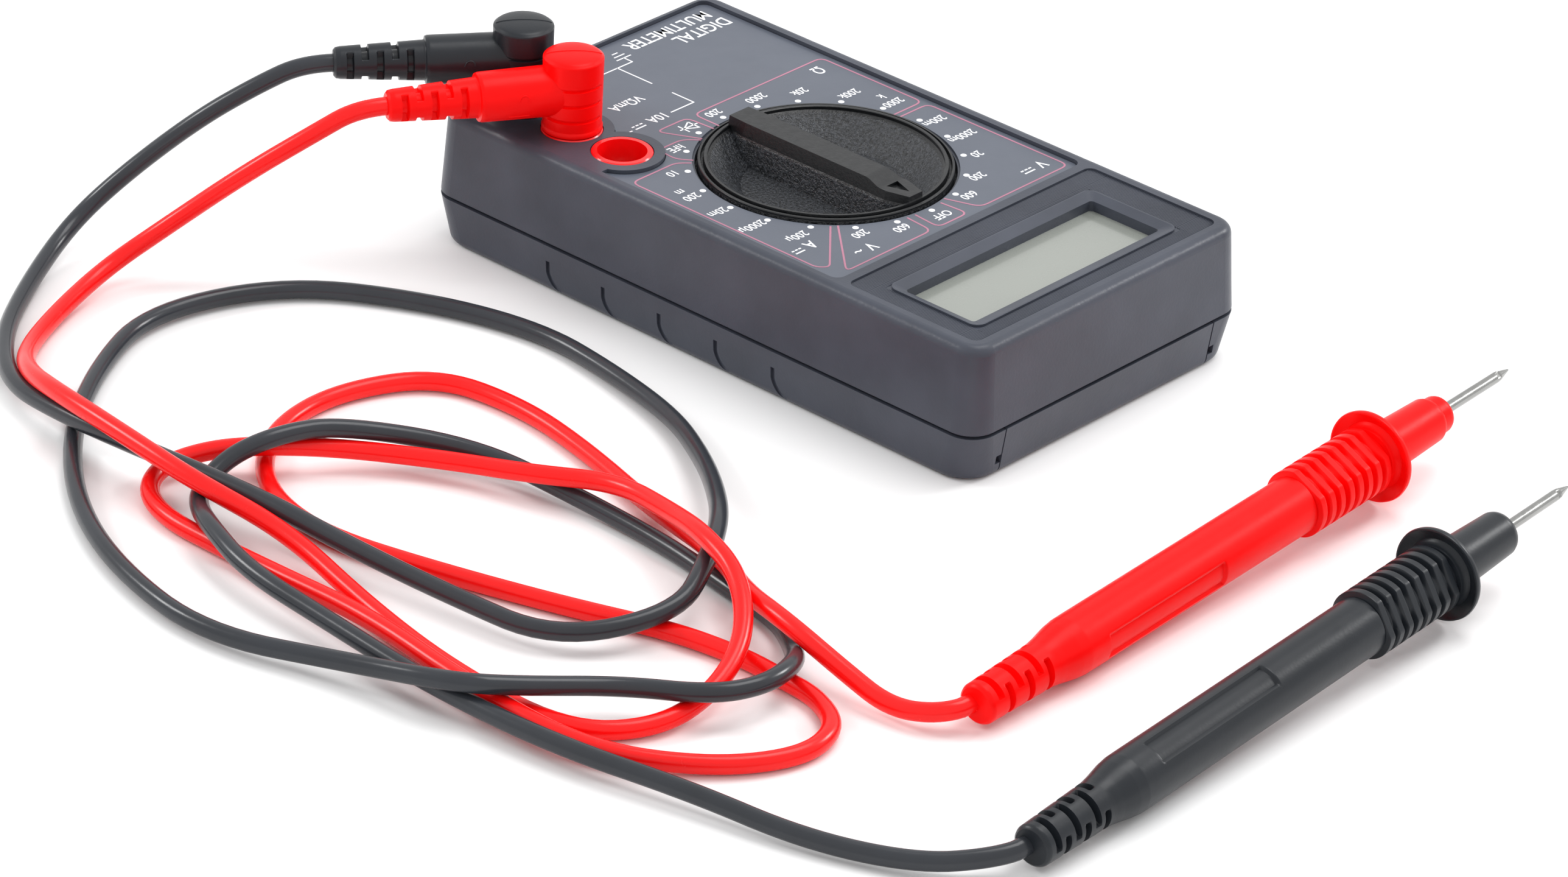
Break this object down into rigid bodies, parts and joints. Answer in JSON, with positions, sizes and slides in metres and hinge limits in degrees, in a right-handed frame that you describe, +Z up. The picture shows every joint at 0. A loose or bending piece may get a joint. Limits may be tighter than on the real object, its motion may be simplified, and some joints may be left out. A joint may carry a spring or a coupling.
{
  "type": "digital multimeter",
  "caption": "Hand-held digital multimeter with a display, a rotary range switch, round input jacks and two plugged-in test leads with probes.",
  "frame": {"origin": "centre of the case's resting face, without the test leads", "axes": "+Z up out of the front panel, +Y towards the display end, +X towards the side with the input jacks"},
  "size_m": [0.2076, 0.2531, 0.0417],
  "materials": {
    "case_plastic": "satin charcoal ABS, fine spark-eroded texture",
    "panel_print": "satin dark grey printed sheet",
    "knob_plastic": "satin charcoal ABS, speckled texture in the bowl",
    "lcd": "grey-green liquid crystal glass",
    "frame_plastic": "satin",
    "elastomer": "matte",
    "board_laminate": "semi-gloss phenolic laminate",
    "track_metal": "bright",
    "black_epoxy": "gloss",
    "trimmer_blue": "satin",
    "fuse_glass": "clear",
    "spring_brass": "satin",
    "jack_metal": "nickel-plated, satin",
    "jack_black": "semi-gloss",
    "jack_red": "semi-gloss",
    "steel": "zinc-plated",
    "battery_jacket": "satin",
    "wire_red": "satin",
    "wire_black": "satin",
    "capacitor_sleeve": "satin shrink sleeve",
    "resistor_body": "satin lacquer",
    "lead_red": "satin moulded plastic",
    "lead_black": "satin moulded plastic",
    "cord_red": "satin soft jacket",
    "cord_black": "satin soft jacket",
    "plated_metal": "bright nickel plate"
  },
  "bodies": {
    "multimeter": {"adc_chip": "black_epoxy", "battery": "battery_jacket", "battery_snap": "frame_plastic", "battery_wire_black": "wire_black", "battery_wire_red": "wire_red", "black_cord": "cord_black", "black_probe_grip": "lead_black", "black_probe_handle": "lead_black", "black_probe_needle": "plated_metal", "black_probe_nose": "lead_black", "board_header": "frame_plastic", "board_screws": "steel", "capacitor_1": "capacitor_sleeve", "capacitor_2": "capacitor_sleeve", "capacitor_3": "capacitor_sleeve", "case_screw_1": "steel", "case_screw_2": "steel", "case_screw_3": "steel", "case_screw_4": "steel", "display_board": "board_laminate", "face_panel": "panel_print", "front_case": "case_plastic", "fuse": "fuse_glass", "fuse_clip_back": "spring_brass", "fuse_clip_front": "spring_brass", "jack_contact_common": "jack_metal", "jack_contact_ten_amp": "jack_metal", "jack_contact_volt_ohm": "jack_metal", "jack_sleeve_common": "jack_black", "jack_sleeve_ten_amp": "jack_red", "jack_sleeve_volt_ohm": "jack_red", "lcd_glass": "lcd", "lcd_holder": "frame_plastic", "main_board": "board_laminate", "rear_case": "case_plastic", "red_cord": "cord_red", "red_probe_grip": "lead_red", "red_probe_handle": "lead_red", "red_probe_needle": "plated_metal", "red_probe_nose": "lead_red", "resistor_1": "resistor_body", "resistor_2": "resistor_body", "resistor_3": "resistor_body", "shunt_wire": "track_metal", "switch_tracks": "track_metal", "trimmer": "trimmer_blue", "zebra_strip": "elastomer"},
    "knob": {"range_knob": "knob_plastic", "detent_ball_left": "steel", "detent_ball_right": "steel", "detent_spring_left": "steel", "detent_spring_right": "steel", "contact_wiper_1": "spring_brass", "contact_wiper_2": "spring_brass", "contact_wiper_3": "spring_brass"},
    "battery_door": {"battery_door": "case_plastic"},
    "red_plug": {"red_plug": "lead_red", "red_plug_pin": "plated_metal"},
    "black_plug": {"black_plug": "lead_black", "black_plug_pin": "plated_metal"}
  },
  "joints": [
    {"name": "knob_turn", "type": "hinge", "parent": "multimeter", "child": "knob", "pos_m": [0, -0.0021, 0.022], "axis": [0, 0, 1], "continuous": true},
    {"name": "battery_door_slide", "type": "slide", "parent": "multimeter", "child": "battery_door", "axis": [0, 1, 0], "range_m": [0, 0.034]},
    {"name": "red_plug_pull", "type": "slide", "parent": "multimeter", "child": "red_plug", "axis": [0, 0, 1], "range_m": [0, 0.016]},
    {"name": "black_plug_pull", "type": "slide", "parent": "multimeter", "child": "black_plug", "axis": [0, 0, 1], "range_m": [0, 0.016]}
  ]
}
